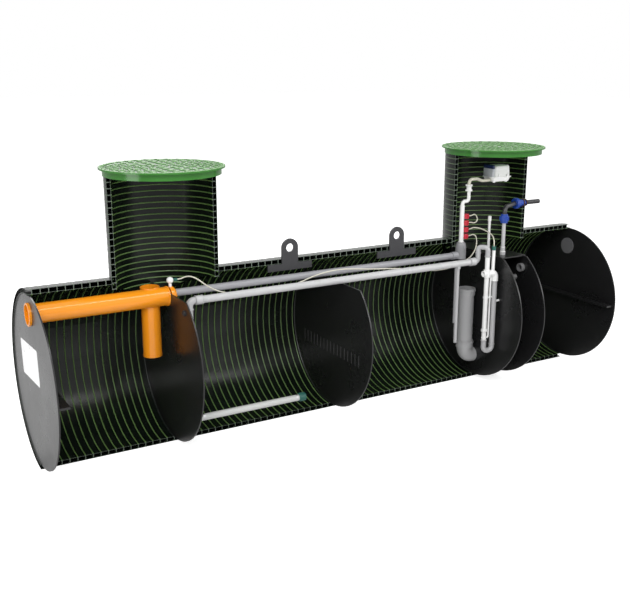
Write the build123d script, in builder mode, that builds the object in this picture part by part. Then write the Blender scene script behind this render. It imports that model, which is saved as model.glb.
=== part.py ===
"""Packaged sewage treatment plant, shown in section: a horizontal tank wound from
hollow-wall polyethylene pipe, cut along its vertical mid plane, with two access
risers, their covers, the bulkheads and the pipework inside.

Frame: millimetres, +X from the inlet end to the outlet end, +Y to the back,
+Z up. The origin is on the tank's lowest line at the inlet end. The section
plane is y = 0, and the back half of the tank wall and of the risers is kept.
"""

import os
from math import asin, cos, degrees, hypot, pi, radians, sin, tan

from build123d import *

os.makedirs("parts", exist_ok=True)

# Tank wall: a hollow section wound into a cylinder
tank_length = 4005.0
tank_inner_radius = 497.0
tank_wall = 28.0
cell_pitch = 45.3
cell_count = 89
first_web_x = 29.0
skin_thickness = 1.5
web_thickness = 4.0
wall_segments = 5

# Risers and covers
riser_inner_radius = 302.0
riser_wall = 25.0
riser_cell_pitch = 35.5
riser_cell_count = 23
riser_rim = 28.5
riser_segments = 3
riser_1_x = 797.0
riser_2_x = 3211.0
riser_reach_inside = 35.0
riser_top = 1136.0
cover_radius = 354.0
cover_thickness = 8.0
skirt_depth = 37.0
skirt_thickness = 3.5
skirt_clearance = 2.0

# End plates and bulkheads, by the place of their left faces
plate_thickness = 8.0
inlet_plate_x = 6.0
outlet_plate_recess = 4.0
bulkhead_1_x = 797.0
slotted_baffle_x = 1904.0
chamber_wall_a_x = 3104.0
chamber_wall_b_x = 3310.0
bulkhead_1_top = 410.0
slotted_baffle_top = 354.0
chamber_wall_top = 405.0
end_rib_height = 12.0
end_rib_depth = 60.0
end_rib_width = 960.0
slot_count = 17
slot_width = 9.0
slot_height = 78.0
slot_pitch = 43.0
slot_centre_height = -106.0

# Cover plate of the outflow chamber
chamber_cover_front = 268.0
chamber_cover_back = 272.0

# Short sockets on three wall faces: the face's x, y, height, outer and inner radius,
# and the reach, which is less than 0 to the left
wall_socket_sizes = [
    (bulkhead_1_x, -255.7, 344.7, 17.0, 11.0, -10.0),
    (chamber_wall_b_x, -249.5, 322.5, 29.0, 22.0, -25.0),
    (chamber_wall_a_x + plate_thickness, -370.0, 300.0, 18.0, 12.0, 30.0),
]

# Lifting lugs, fixed to the cut face of the wall
lug_1_x = 1602.0
lug_2_x = 2409.0
lug_thickness = 12.0
lug_base_half = 155.0
lug_base_bottom = 453.0
lug_base_top = 496.0
lug_tab_half = 57.0
lug_hole_radius = 26.0
lug_hole_height = 594.0

# Drain pipe of 110 mm, for the inlet and for the transfer pipe
drain_radius = 55.0
drain_wall = 3.2
drain_socket_wall = 5.5
spigot_clearance = 0.7
socket_bead = 4.0
socket_bead_length = 9.0
socket_stop = 2.0
inlet_socket_reach = 14.0
inlet_height = 388.0
inlet_drop_x = 701.0
inlet_drop_y = 34.0
inlet_drop_bottom = 29.0
inlet_top_opening = 5.0
end_cap_length = 34.0
end_cap_chamfer = 12.0
outlet_blank_height = 362.0
outlet_blank_radius = 60.0
outlet_blank_thickness = 8.0
outlet_blank_stub = 20.0
transfer_x = 3031.0
transfer_y = 0.0
transfer_top = 152.0
transfer_socket_length = 48.0
transfer_bend_height = -348.0
transfer_bend_radius = 60.0
bend_socket_length = 45.0

# Air pipes of 40 mm
air_pipe_radius = 22.0
air_socket_radius = 26.5
air_socket_length = 42.0
near_pipe_y = -185.0
near_pipe_height = 391.0
far_pipe_height = 401.0
drop_pipe_x = 854.0
diffuser_height = -330.0
diffuser_radius = 20.0
diffuser_end_x = 1560.0
diffuser_cap_radius = 25.0
diffuser_cap_length = 45.0
air_bend_radius = 33.0
crossover_radius = 17.0
crossover_bend_radius = 22.0
crossover_x = 2965.0
crossover_height = 490.0
crossover_foot = 425.0

# Sample pipe that hangs below the near air pipe
sample_pipe_x = 2793.0
sample_pipe_radius = 12.5
sample_pipe_bottom = -167.0
sample_collar_radius = 18.0
sample_collar_length = 12.0
sample_tube_radius = 8.0
sample_tube_bottom = -21.0

# Sludge airlift
small_pipe_radius = 16.0
small_collar_radius = 19.5
airlift_x = 3003.0
airlift_y = -240.0
airlift_foot = -165.0
airlift_tee_height = 310.0
tee_radius = 23.0
tee_mouth_radius = 21.0
tee_mouth_length = 30.0
return_pipe_x = 3067.0
return_pipe_y = -250.0
return_pipe_radius = 18.0
return_pipe_top = 256.0
foot_bend_height = -244.0
air_tube_radius = 12.0
air_tube_x = 3050.0
air_tube_y = -245.0
thin_tube_radius = 6.5
thin_tube_x = 3035.0
air_tube_top = 470.0
air_tube_foot = -149.0
hose_tail_radius = 14.0
hose_tail_length = 26.0
clip_height = 141.0
clip_radius = 5.5
lower_collar_height = -94.0
lower_collar_radius = 22.0
spacer_height = 112.0
spacer_y = -258.0
spacer_radius = 8.0

# Vent pipe on the chamber cover
vent_x = 3203.0
vent_y = -10.0
vent_radius = 9.5
vent_top = 655.0
vent_flare_radius = 12.5
vent_flare_length = 34.0

# Air manifold with its valves
manifold_x = 2961.0
cup_radius = 38.0
cup_bottom = 376.0
cup_top = 490.0
cup_neck_radius = 27.0
manifold_radius = 16.0
manifold_above_valves = 81.0
valve_clearance = 3.0
valve_radius = 18.0
valve_length = 34.0
valve_pitch = 47.0
valve_above_cup = 40.0
valve_count = 4
valve_neck_radius = 7.0
valve_nozzle_radius = 5.0
valve_nozzle_length = 8.0
swan_neck_radius = 12.5
union_x = 3013.0
union_bottom = 845.0
union_length = 46.0
union_radius = 22.0
union_body_radius = 17.0

# Blower
blower_x = 3284.0
blower_y = 30.0
blower_bottom = 890.0
blower_length = 164.0
blower_width = 112.0
blower_base_height = 35.0
blower_foot_height = 7.0
blower_flange = 6.0
blower_flange_margin = 5.0
hood_height = 78.0
hood_corner = 24.0
filter_length = 18.0
filter_width = 96.0
filter_height = 56.0
filter_cap_height = 26.0
blower_hose_radius = 11.0
blower_hose_rise = 34.0
blower_inlet_height = 18.0
bracket_width = 40.0
bracket_thickness = 20.0

# Outflow pipe with its compression fittings
outflow_x = 3182.0
outflow_y = -185.0
outflow_radius = 13.0
outflow_base_radius = 19.0
outflow_base_length = 23.0
outflow_collar_radius = 16.0
outflow_collar_length = 32.0
fitting_length = 58.0
outlet_above_fitting = 31.0
outlet_elbow_rise = 50.0
wall_fitting_length = 75.0
wall_nut_radius = 36.0
wall_nut_length = 28.0
wall_body_radius = 22.0
nut_radius = 30.0
fitting_body_radius = 24.0
outlet_height = 726.0
poly_pipe_radius = 16.0
poly_pipe_end_x = 3667.0
shank_radius = 15.0
shank_clearance = 0.3
shank_reach = 4.0

# Pressure fitting above the first bulkhead
ring_fitting_x = 814.0
ring_stem_length = 37.0
ring_fitting_radius = 20.0
ring_stem_radius = 9.0
ring_tail_radius = 9.0
ring_tail_length = 24.0

# Air hoses
hose_radius = 4.0

# Sizes that follow from the ones above
tank_outer_radius = tank_inner_radius + tank_wall
axis_z = tank_outer_radius
riser_outer_radius = riser_inner_radius + riser_wall
riser_foot_radius = tank_inner_radius - riser_reach_inside
riser_length = riser_rim + riser_cell_pitch * riser_cell_count
skirt_outer_radius = riser_outer_radius + skirt_clearance + skirt_thickness
outlet_plate_x = tank_length - outlet_plate_recess - plate_thickness
drain_bore = drain_radius - drain_wall
socket_bore = drain_radius + spigot_clearance
socket_radius = socket_bore + drain_socket_wall
chamber_cover_top = chamber_wall_top + plate_thickness
ring_fitting_height = inlet_height + drain_radius + ring_stem_length
valve_heights = [
    cup_top + valve_above_cup + index * valve_pitch for index in range(valve_count)
]
manifold_top = valve_heights[-1] + manifold_above_valves
outflow_top = outlet_height - outlet_above_fitting - fitting_length
hood_top = blower_bottom + blower_base_height + blower_flange + hood_height


def height(above_axis):
    """The height over the ground of a place given from the tank's axis."""
    return axis_z + above_axis


def save(part, label):
    """Name a finished piece and write it to its own file."""
    part.label = label
    export_step(part, f"parts/{label}.step")


def corner_radii(points, share=0.45):
    """The largest easy radius at each corner of a hose's route."""
    radii = []
    for before, corner, after in zip(points, points[1:], points[2:]):
        run_in = Vector(*corner) - Vector(*before)
        run_out = Vector(*after) - Vector(*corner)
        half_turn = radians(run_in.get_angle(run_out)) / 2
        radii.append(share * min(run_in.length, run_out.length) / tan(half_turn))
    return radii


def round_bar(points, radii, bar_radius):
    """A round bar that follows straight runs joined by arcs."""
    with BuildPart() as bar:
        with BuildLine() as route:
            FilletPolyline(*points, radius=radii)
        with BuildSketch(Plane(origin=route.line @ 0, z_dir=route.line % 0)):
            Circle(bar_radius)
        sweep()
    return bar.part


def rod(start, end, bar_radius):
    """A straight round bar between two places."""
    run = Vector(*end) - Vector(*start)
    with BuildPart() as bar:
        with BuildSketch(Plane(origin=start, z_dir=run)):
            Circle(bar_radius)
        extrude(amount=run.length)
    return bar.part


# Space that a riser's wall takes inside the tank, which the bulkheads leave free
def riser_wall_space(centre_x):
    with BuildPart() as space:
        with BuildSketch(Plane.XY.offset(axis_z)):
            with Locations((centre_x, 0)):
                Circle(riser_outer_radius)
                Circle(riser_inner_radius, mode=Mode.SUBTRACT)
                Rectangle(
                    2 * riser_outer_radius,
                    riser_outer_radius,
                    align=(Align.CENTER, Align.MAX),
                    mode=Mode.SUBTRACT,
                )
        extrude(amount=tank_outer_radius)
        with BuildSketch(Plane.YZ.offset(centre_x - 2 * riser_outer_radius)):
            with Locations((0, axis_z)):
                Circle(riser_foot_radius)
        extrude(amount=4 * riser_outer_radius, mode=Mode.SUBTRACT)
    return space.part


# Tank wall: staves of the wound hollow wall, from the bottom round the back to the top
riser_hole_angle = 180 - degrees(asin(riser_outer_radius / tank_outer_radius))
stave_angle = 180 / wall_segments
for index in range(wall_segments):
    start = radians(index * stave_angle)
    profile_plane = Plane(
        origin=(0, 0, axis_z), x_dir=(1, 0, 0), z_dir=(0, cos(start), sin(start))
    )
    with BuildPart() as tank_wall_segment:
        with BuildSketch(profile_plane):
            with Locations((tank_length / 2, tank_inner_radius + tank_wall / 2)):
                Rectangle(tank_length, tank_wall)
            with Locations((first_web_x - cell_pitch / 2, tank_inner_radius + tank_wall / 2)):
                with GridLocations(cell_pitch, 0, cell_count, 1, align=(Align.MIN, Align.CENTER)):
                    Rectangle(
                        cell_pitch - web_thickness,
                        tank_wall - 2 * skin_thickness,
                        mode=Mode.SUBTRACT,
                    )
        revolve(axis=Axis((0, 0, axis_z), (1, 0, 0)), revolution_arc=stave_angle)
        if (index + 1) * stave_angle > riser_hole_angle:
            with BuildSketch(Plane.XY.offset(axis_z)):
                with Locations((riser_1_x, 0), (riser_2_x, 0)):
                    Circle(riser_outer_radius)
            extrude(amount=2 * tank_outer_radius, mode=Mode.SUBTRACT)
    save(tank_wall_segment.part, f"tank_wall_{index + 1}")

# Riser walls: upright staves of the same hollow wall, cut to the tank's round inside
riser_stave_angle = 180 / riser_segments
for number, centre_x in ((1, riser_1_x), (2, riser_2_x)):
    for index in range(riser_segments):
        start = radians(index * riser_stave_angle)
        profile_plane = Plane(
            origin=(centre_x, 0, height(riser_top)),
            x_dir=(cos(start), sin(start), 0),
            z_dir=(sin(start), -cos(start), 0),
        )
        with BuildPart() as riser_wall_segment:
            with BuildSketch(profile_plane):
                with Locations((riser_inner_radius + riser_wall / 2, -riser_length / 2)):
                    Rectangle(riser_wall, riser_length)
                with Locations(
                    (riser_inner_radius + riser_wall / 2, -(riser_rim + riser_length) / 2)
                ):
                    with GridLocations(0, riser_cell_pitch, 1, riser_cell_count):
                        Rectangle(
                            riser_wall - 2 * skin_thickness,
                            riser_cell_pitch - web_thickness,
                            mode=Mode.SUBTRACT,
                        )
            revolve(
                axis=Axis((centre_x, 0, 0), (0, 0, 1)), revolution_arc=riser_stave_angle
            )
            with BuildSketch(Plane.YZ.offset(centre_x - 2 * riser_outer_radius)):
                with Locations((0, axis_z)):
                    Circle(riser_foot_radius)
            extrude(amount=4 * riser_outer_radius, mode=Mode.SUBTRACT)
            if number == 2 and index == 0:
                with BuildSketch(Plane.YZ.offset(centre_x)):
                    with Locations((0, height(outlet_height))):
                        Circle(shank_radius + shank_clearance)
                extrude(amount=2 * riser_outer_radius, mode=Mode.SUBTRACT)
        save(riser_wall_segment.part, f"riser_{number}_wall_{index + 1}")

# Covers: a round plate with a skirt that fits over the riser
for number, centre_x in ((1, riser_1_x), (2, riser_2_x)):
    with BuildPart() as cover:
        with BuildSketch(Plane.XY.offset(height(riser_top))):
            with Locations((centre_x, 0)):
                Circle(cover_radius)
        extrude(amount=cover_thickness)
        with BuildSketch(Plane.XY.offset(height(riser_top))):
            with Locations((centre_x, 0)):
                Circle(skirt_outer_radius)
                Circle(skirt_outer_radius - skirt_thickness, mode=Mode.SUBTRACT)
        extrude(amount=-skirt_depth)
    save(cover.part, f"cover_{number}")

# End plates: whole discs welded inside the ends of the tank
with BuildPart() as inlet_end_plate:
    with BuildSketch(Plane.YZ.offset(inlet_plate_x)):
        with Locations((0, axis_z)):
            Circle(tank_inner_radius)
        with Locations((0, height(inlet_height))):
            Circle(socket_radius, mode=Mode.SUBTRACT)
    extrude(amount=plate_thickness)
save(inlet_end_plate.part, "inlet_end_plate")

with BuildPart() as outlet_end_plate:
    with BuildSketch(Plane.YZ.offset(outlet_plate_x)):
        with Locations((0, axis_z)):
            Circle(tank_inner_radius)
        with Locations((0, height(outlet_blank_height))):
            Circle(drain_radius, mode=Mode.SUBTRACT)
    extrude(amount=plate_thickness)
save(outlet_end_plate.part, "outlet_end_plate")

# Stiffening ribs across the inside faces of the end plates
with BuildPart() as end_plate_ribs:
    with BuildSketch(Plane.YZ.offset(inlet_plate_x + plate_thickness)):
        with Locations((0, axis_z)):
            Rectangle(end_rib_width, end_rib_height)
    extrude(amount=end_rib_depth)
    with BuildSketch(Plane.YZ.offset(outlet_plate_x)):
        with Locations((0, axis_z)):
            Rectangle(end_rib_width, end_rib_height)
    extrude(amount=-end_rib_depth)
save(end_plate_ribs.part, "end_plate_ribs")


# Bulkheads: discs with a straight top edge, cut free of the riser walls
def bulkhead(left_face_x, top_height, riser_x):
    with BuildPart() as disc:
        with BuildSketch(Plane.YZ.offset(left_face_x)):
            with Locations((0, axis_z)):
                Circle(tank_inner_radius)
            with Locations((0, height(top_height))):
                Rectangle(
                    2 * tank_inner_radius,
                    tank_inner_radius,
                    align=(Align.CENTER, Align.MIN),
                    mode=Mode.SUBTRACT,
                )
        extrude(amount=plate_thickness)
        if riser_x is not None:
            add(riser_wall_space(riser_x), mode=Mode.SUBTRACT)
    return disc.part


save(bulkhead(bulkhead_1_x, bulkhead_1_top, riser_1_x), "bulkhead_1")

with BuildPart() as slotted_baffle:
    add(bulkhead(slotted_baffle_x, slotted_baffle_top, None))
    with BuildSketch(Plane.YZ.offset(slotted_baffle_x)):
        with Locations((0, height(slot_centre_height))):
            with GridLocations(slot_pitch, 0, slot_count, 1):
                Rectangle(slot_width, slot_height)
    extrude(amount=plate_thickness, mode=Mode.SUBTRACT)
save(slotted_baffle.part, "slotted_baffle")

with BuildPart() as chamber_wall_a:
    add(bulkhead(chamber_wall_a_x, chamber_wall_top, riser_2_x))
    with BuildSketch(Plane.YZ.offset(chamber_wall_a_x)):
        with Locations((transfer_y, height(transfer_bend_height))):
            Circle(drain_bore)
    extrude(amount=plate_thickness, mode=Mode.SUBTRACT)
save(chamber_wall_a.part, "chamber_wall_a")

save(bulkhead(chamber_wall_b_x, chamber_wall_top, riser_2_x), "chamber_wall_b")

# Cover plate of the outflow chamber, laid on the two chamber walls
with BuildPart() as chamber_cover:
    with BuildSketch(Plane.XY.offset(height(chamber_wall_top))):
        with Locations((chamber_wall_a_x + plate_thickness / 2, -chamber_cover_front)):
            Rectangle(
                chamber_wall_b_x + plate_thickness / 2 - chamber_wall_a_x,
                chamber_cover_front + chamber_cover_back,
                align=(Align.MIN, Align.MIN),
            )
    extrude(amount=plate_thickness)
save(chamber_cover.part, "chamber_cover")

# Short sockets on the faces of the first bulkhead and the two chamber walls
with BuildPart() as wall_sockets:
    for face_x, socket_y, above_axis, outer_radius, inner_radius, reach in wall_socket_sizes:
        with BuildSketch(Plane.YZ.offset(face_x)):
            with Locations((socket_y, height(above_axis))):
                Circle(outer_radius)
                Circle(inner_radius, mode=Mode.SUBTRACT)
        extrude(amount=reach)
save(wall_sockets.part, "wall_sockets")

# Lifting lugs: a wide foot under the wall and an eye above it
with BuildPart() as lifting_lugs:
    with BuildSketch(Plane.XZ):
        for centre_x in (lug_1_x, lug_2_x):
            with Locations((centre_x, height((lug_base_bottom + lug_base_top) / 2))):
                Rectangle(2 * lug_base_half, lug_base_top - lug_base_bottom)
            with Locations((centre_x, height((lug_base_top + lug_hole_height) / 2))):
                Rectangle(2 * lug_tab_half, lug_hole_height - lug_base_top)
            with Locations((centre_x, height(lug_hole_height))):
                Circle(lug_tab_half)
                Circle(lug_hole_radius, mode=Mode.SUBTRACT)
    extrude(amount=lug_thickness)
save(lifting_lugs.part, "lifting_lugs")

# Inlet: a drain pipe along the mid plane with an open branch, and its sockets
inlet_plane = Plane(origin=(0, 0, height(inlet_height)), z_dir=(1, 0, 0))
inlet_pipe_x = inlet_plate_x + plate_thickness
with BuildPart() as inlet_pipe:
    with BuildSketch(inlet_plane.offset(inlet_pipe_x)):
        Circle(drain_radius)
    extrude(amount=bulkhead_1_x - inlet_pipe_x)
    with BuildSketch(Plane.XY.offset(height(inlet_height))):
        with Locations((inlet_drop_x, inlet_drop_y)):
            Circle(drain_radius)
    extrude(amount=drain_radius + inlet_top_opening)
    with BuildSketch(inlet_plane.offset(inlet_pipe_x)):
        Circle(drain_bore)
    extrude(amount=bulkhead_1_x - inlet_pipe_x, mode=Mode.SUBTRACT)
    with BuildSketch(Plane.XY.offset(height(inlet_height - drain_radius))):
        with Locations((inlet_drop_x, inlet_drop_y)):
            Circle(drain_bore)
    extrude(amount=2 * drain_radius + inlet_top_opening, mode=Mode.SUBTRACT)
save(inlet_pipe.part, "inlet_pipe")

with BuildPart() as inlet_drop_pipe:
    with BuildSketch(Plane.XY.offset(height(inlet_drop_bottom))):
        with Locations((inlet_drop_x, inlet_drop_y)):
            Circle(drain_radius)
            Circle(drain_bore, mode=Mode.SUBTRACT)
    extrude(amount=inlet_height - inlet_drop_bottom)
    with BuildSketch(inlet_plane.offset(inlet_plate_x)):
        Circle(drain_radius)
    extrude(amount=bulkhead_1_x, mode=Mode.SUBTRACT)
save(inlet_drop_pipe.part, "inlet_drop_pipe")

inlet_socket_x = inlet_plate_x - inlet_socket_reach
with BuildPart() as inlet_socket:
    with BuildSketch(inlet_plane.offset(inlet_socket_x)):
        Circle(socket_radius)
    extrude(amount=inlet_pipe_x - inlet_socket_x)
    with BuildSketch(inlet_plane.offset(inlet_socket_x)):
        Circle(socket_radius + socket_bead)
    extrude(amount=inlet_socket_reach)
    fillet(
        inlet_socket.edges().filter_by(GeomType.CIRCLE).sort_by(Axis.X)[0], 0.8 * socket_bead
    )
    with BuildSketch(inlet_plane.offset(inlet_socket_x)):
        Circle(drain_bore)
    extrude(amount=inlet_pipe_x - inlet_socket_x, mode=Mode.SUBTRACT)
    with BuildSketch(inlet_plane.offset(inlet_socket_x)):
        Circle(socket_bore)
    extrude(amount=inlet_pipe_x - inlet_socket_x - socket_stop, mode=Mode.SUBTRACT)
save(inlet_socket.part, "inlet_socket")

end_cap_x = bulkhead_1_x + plate_thickness
with BuildPart() as inlet_end_cap:
    with BuildSketch(inlet_plane.offset(end_cap_x)):
        Circle(drain_radius)
    extrude(amount=end_cap_length)
    chamfer(inlet_end_cap.faces().sort_by(Axis.X)[-1].edges(), end_cap_chamfer)
save(inlet_end_cap.part, "inlet_end_cap")

# Blank disc with its stub in the outlet end plate
outlet_plane = Plane(origin=(outlet_plate_x, 0, height(outlet_blank_height)), z_dir=(1, 0, 0))
with BuildPart() as outlet_blank:
    with BuildSketch(outlet_plane):
        Circle(outlet_blank_radius)
    extrude(amount=-outlet_blank_thickness)
    with BuildSketch(outlet_plane):
        Circle(drain_radius)
    extrude(amount=plate_thickness + outlet_blank_stub)
save(outlet_blank.part, "outlet_blank")

# Pressure fitting: a stem on the end cap, a round body, and its hose tail
with BuildPart() as ring_fitting:
    with BuildSketch(Plane.XY.offset(height(inlet_height))):
        with Locations((ring_fitting_x, 0)):
            Circle(ring_stem_radius)
    extrude(amount=ring_fitting_height - inlet_height)
    with BuildSketch(inlet_plane.offset(end_cap_x)):
        Circle(drain_radius)
    extrude(amount=end_cap_length, mode=Mode.SUBTRACT)
    with Locations((ring_fitting_x, 0, height(ring_fitting_height))):
        Sphere(ring_fitting_radius)
save(ring_fitting.part, "ring_fitting")

ring_tail_x = ring_fitting_x + ring_fitting_radius
hose_tail_1 = rod(
    (ring_tail_x, 0, height(ring_fitting_height)),
    (ring_tail_x + ring_tail_length, 0, height(ring_fitting_height)),
    ring_tail_radius,
)
hose_tail_2 = rod(
    (air_tube_x, air_tube_y, height(air_tube_top)),
    (air_tube_x, air_tube_y, height(air_tube_top + hose_tail_length)),
    hose_tail_radius,
)
save(hose_tail_1 + hose_tail_2, "hose_tails")

# Far air pipe, from the end cap to the cup under the manifold
far_pipe_end = manifold_x - cup_radius + 6
with BuildPart() as far_air_pipe:
    add(
        rod(
            (end_cap_x + end_cap_length, 0, height(far_pipe_height)),
            (far_pipe_end, 0, height(far_pipe_height)),
            air_pipe_radius,
        )
    )
    add(
        rod(
            (far_pipe_end - air_socket_length - 6, 0, height(far_pipe_height)),
            (far_pipe_end, 0, height(far_pipe_height)),
            air_socket_radius,
        )
    )
    with BuildSketch(Plane.XY.offset(height(cup_bottom))):
        with Locations((manifold_x, 0)):
            Circle(cup_radius)
    extrude(amount=cup_top - cup_bottom, mode=Mode.SUBTRACT)
save(far_air_pipe.part, "far_air_pipe")

# Near air pipe with its sockets, the drop pipe behind the first bulkhead, and the crossover
near_pipe_start = drop_pipe_x + air_bend_radius + 7
near_pipe_end = crossover_x - crossover_bend_radius - 7
with BuildPart() as near_air_pipe:
    add(
        rod(
            (near_pipe_start, near_pipe_y, height(near_pipe_height)),
            (near_pipe_end, near_pipe_y, height(near_pipe_height)),
            air_pipe_radius,
        )
    )
    for socket_start in (near_pipe_start, near_pipe_end - air_socket_length):
        add(
            rod(
                (socket_start, near_pipe_y, height(near_pipe_height)),
                (socket_start + air_socket_length, near_pipe_y, height(near_pipe_height)),
                air_socket_radius,
            )
        )
save(near_air_pipe.part, "near_air_pipe")

air_drop_pipe = round_bar(
    [
        (near_pipe_start, near_pipe_y, height(near_pipe_height)),
        (drop_pipe_x, near_pipe_y, height(near_pipe_height)),
        (drop_pipe_x, near_pipe_y, height(diffuser_height)),
        (near_pipe_start, near_pipe_y, height(diffuser_height)),
    ],
    air_bend_radius,
    air_pipe_radius,
)
save(air_drop_pipe, "air_drop_pipe")

crossover_bend = round_bar(
    [
        (near_pipe_end, near_pipe_y, height(near_pipe_height)),
        (crossover_x, near_pipe_y, height(near_pipe_height)),
        (crossover_x, near_pipe_y, height(crossover_height)),
        (airlift_x, airlift_y, height(crossover_height)),
        (airlift_x, airlift_y, height(crossover_foot)),
    ],
    crossover_bend_radius,
    crossover_radius,
)
save(crossover_bend, "crossover_bend")

# Diffuser: a membrane tube with its end cap
diffuser_tube = rod(
    (near_pipe_start, near_pipe_y, height(diffuser_height)),
    (diffuser_end_x, near_pipe_y, height(diffuser_height)),
    diffuser_radius,
)
save(diffuser_tube, "diffuser_tube")

diffuser_cap = rod(
    (diffuser_end_x, near_pipe_y, height(diffuser_height)),
    (diffuser_end_x + diffuser_cap_length, near_pipe_y, height(diffuser_height)),
    diffuser_cap_radius,
)
save(diffuser_cap, "diffuser_cap")

# Sample pipe with a thinner tube beside it, saddled to the underside of the near air pipe
sample_tube_x = sample_pipe_x - sample_pipe_radius - 0.6 * sample_tube_radius
with BuildPart() as sample_pipe:
    for rod_x, rod_bottom, rod_radius in (
        (sample_pipe_x, sample_pipe_bottom, sample_pipe_radius),
        (sample_tube_x, sample_tube_bottom, sample_tube_radius),
    ):
        add(
            rod(
                (rod_x, near_pipe_y, height(rod_bottom)),
                (rod_x, near_pipe_y, height(near_pipe_height)),
                rod_radius,
            )
        )
    fillet(
        sample_pipe.edges().filter_by(GeomType.CIRCLE).sort_by(Axis.Z)[0],
        0.6 * sample_pipe_radius,
    )
    collar_bottom = near_pipe_height - air_pipe_radius - sample_collar_length
    add(
        rod(
            (sample_pipe_x, near_pipe_y, height(collar_bottom)),
            (sample_pipe_x, near_pipe_y, height(near_pipe_height)),
            sample_collar_radius,
        )
    )
    near_pipe_plane = Plane(
        origin=(sample_pipe_x, near_pipe_y, height(near_pipe_height)), z_dir=(1, 0, 0)
    )
    with BuildSketch(near_pipe_plane):
        Circle(air_pipe_radius)
    extrude(amount=2 * sample_collar_radius, both=True, mode=Mode.SUBTRACT)
save(sample_pipe.part, "sample_pipe")

# Airlift riser pipe with its collars
with BuildPart() as airlift_riser:
    add(
        rod(
            (airlift_x, airlift_y, height(airlift_foot)),
            (airlift_x, airlift_y, height(airlift_tee_height - tee_radius)),
            small_pipe_radius,
        )
    )
    add(
        rod(
            (airlift_x, airlift_y, height(airlift_tee_height + tee_radius)),
            (airlift_x, airlift_y, height(crossover_foot)),
            small_pipe_radius,
        )
    )
    for collar_middle, collar_radius in (
        (clip_height, small_collar_radius),
        (lower_collar_height, lower_collar_radius),
    ):
        add(
            rod(
                (airlift_x, airlift_y, height(collar_middle - collar_radius / 3)),
                (airlift_x, airlift_y, height(collar_middle + collar_radius / 3)),
                collar_radius,
            )
        )
save(airlift_riser.part, "airlift_riser")

# Airlift tee, open to the left, with the bend that leads into the return pipe
with BuildPart() as airlift_tee:
    add(
        rod(
            (airlift_x, airlift_y, height(airlift_tee_height - tee_radius)),
            (airlift_x, airlift_y, height(airlift_tee_height + tee_radius)),
            tee_radius,
        )
    )
    add(
        rod(
            (airlift_x, airlift_y, height(airlift_tee_height)),
            (airlift_x - tee_mouth_length, airlift_y, height(airlift_tee_height)),
            tee_mouth_radius,
        )
    )
    add(
        round_bar(
            [
                (airlift_x, airlift_y, height(airlift_tee_height)),
                (return_pipe_x, return_pipe_y, height(airlift_tee_height)),
                (return_pipe_x, return_pipe_y, height(return_pipe_top)),
            ],
            tee_radius + 2,
            tee_radius - 1,
        )
    )
    add(
        rod(
            (airlift_x - small_pipe_radius, airlift_y, height(airlift_tee_height)),
            (airlift_x - tee_mouth_length, airlift_y, height(airlift_tee_height)),
            small_pipe_radius,
        ),
        mode=Mode.SUBTRACT,
    )
save(airlift_tee.part, "airlift_tee")

return_pipe = round_bar(
    [
        (return_pipe_x, return_pipe_y, height(return_pipe_top)),
        (return_pipe_x, return_pipe_y, height(foot_bend_height)),
        (airlift_x, airlift_y, height(foot_bend_height)),
        (airlift_x, airlift_y, height(airlift_foot)),
    ],
    0.9 * (return_pipe_x - airlift_x) / 2,
    return_pipe_radius,
)
save(return_pipe, "return_pipe")

# Air tube that feeds the foot of the airlift, thinner below the tee
with BuildPart() as airlift_air_tube:
    add(
        rod(
            (air_tube_x, air_tube_y, height(airlift_tee_height)),
            (air_tube_x, air_tube_y, height(air_tube_top)),
            air_tube_radius,
        )
    )
    add(
        round_bar(
            [
                (thin_tube_x, air_tube_y, height(airlift_tee_height)),
                (thin_tube_x, air_tube_y, height(air_tube_foot)),
                (airlift_x, airlift_y, height(air_tube_foot)),
            ],
            2 * thin_tube_radius,
            thin_tube_radius,
        )
    )
    add(airlift_tee.part, mode=Mode.SUBTRACT)
    add(airlift_riser.part, mode=Mode.SUBTRACT)
save(airlift_air_tube.part, "airlift_air_tube")

# Clip between the two airlift pipes, and the spacer that stands off the chamber wall
with BuildPart() as airlift_clips:
    add(
        rod(
            (airlift_x, airlift_y, height(clip_height)),
            (return_pipe_x, return_pipe_y, height(clip_height)),
            clip_radius,
        )
    )
    add(
        rod(
            (return_pipe_x, spacer_y, height(spacer_height)),
            (chamber_wall_a_x, spacer_y, height(spacer_height)),
            spacer_radius,
        )
    )
    add(return_pipe, mode=Mode.SUBTRACT)
    add(airlift_riser.part, mode=Mode.SUBTRACT)
    add(airlift_air_tube.part, mode=Mode.SUBTRACT)
save(airlift_clips.part, "airlift_clips")

# Transfer pipe: a socketed drain pipe that stands in its bottom bend
bend_shoulder = transfer_bend_height + transfer_bend_radius + 10
with BuildPart() as transfer_pipe:
    with BuildSketch(Plane.XY.offset(height(bend_shoulder))):
        with Locations((transfer_x, transfer_y)):
            Circle(drain_radius)
    extrude(amount=transfer_top - bend_shoulder)
    with BuildSketch(Plane.XY.offset(height(transfer_top - transfer_socket_length))):
        with Locations((transfer_x, transfer_y)):
            Circle(socket_radius)
    extrude(amount=transfer_socket_length)
    bead_height = transfer_top - socket_bead_length
    with BuildSketch(Plane.XY.offset(height(bead_height))):
        with Locations((transfer_x, transfer_y)):
            Circle(socket_radius + socket_bead)
    extrude(amount=-socket_bead_length)
    with BuildSketch(Plane.XY.offset(height(bend_shoulder))):
        with Locations((transfer_x, transfer_y)):
            Circle(drain_bore)
    extrude(amount=transfer_top - bend_shoulder, mode=Mode.SUBTRACT)
    with BuildSketch(Plane.XY.offset(height(transfer_top))):
        with Locations((transfer_x, transfer_y)):
            Circle(socket_bore)
    extrude(amount=-transfer_socket_length + 2 * drain_wall, mode=Mode.SUBTRACT)
save(transfer_pipe.part, "transfer_pipe")

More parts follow.
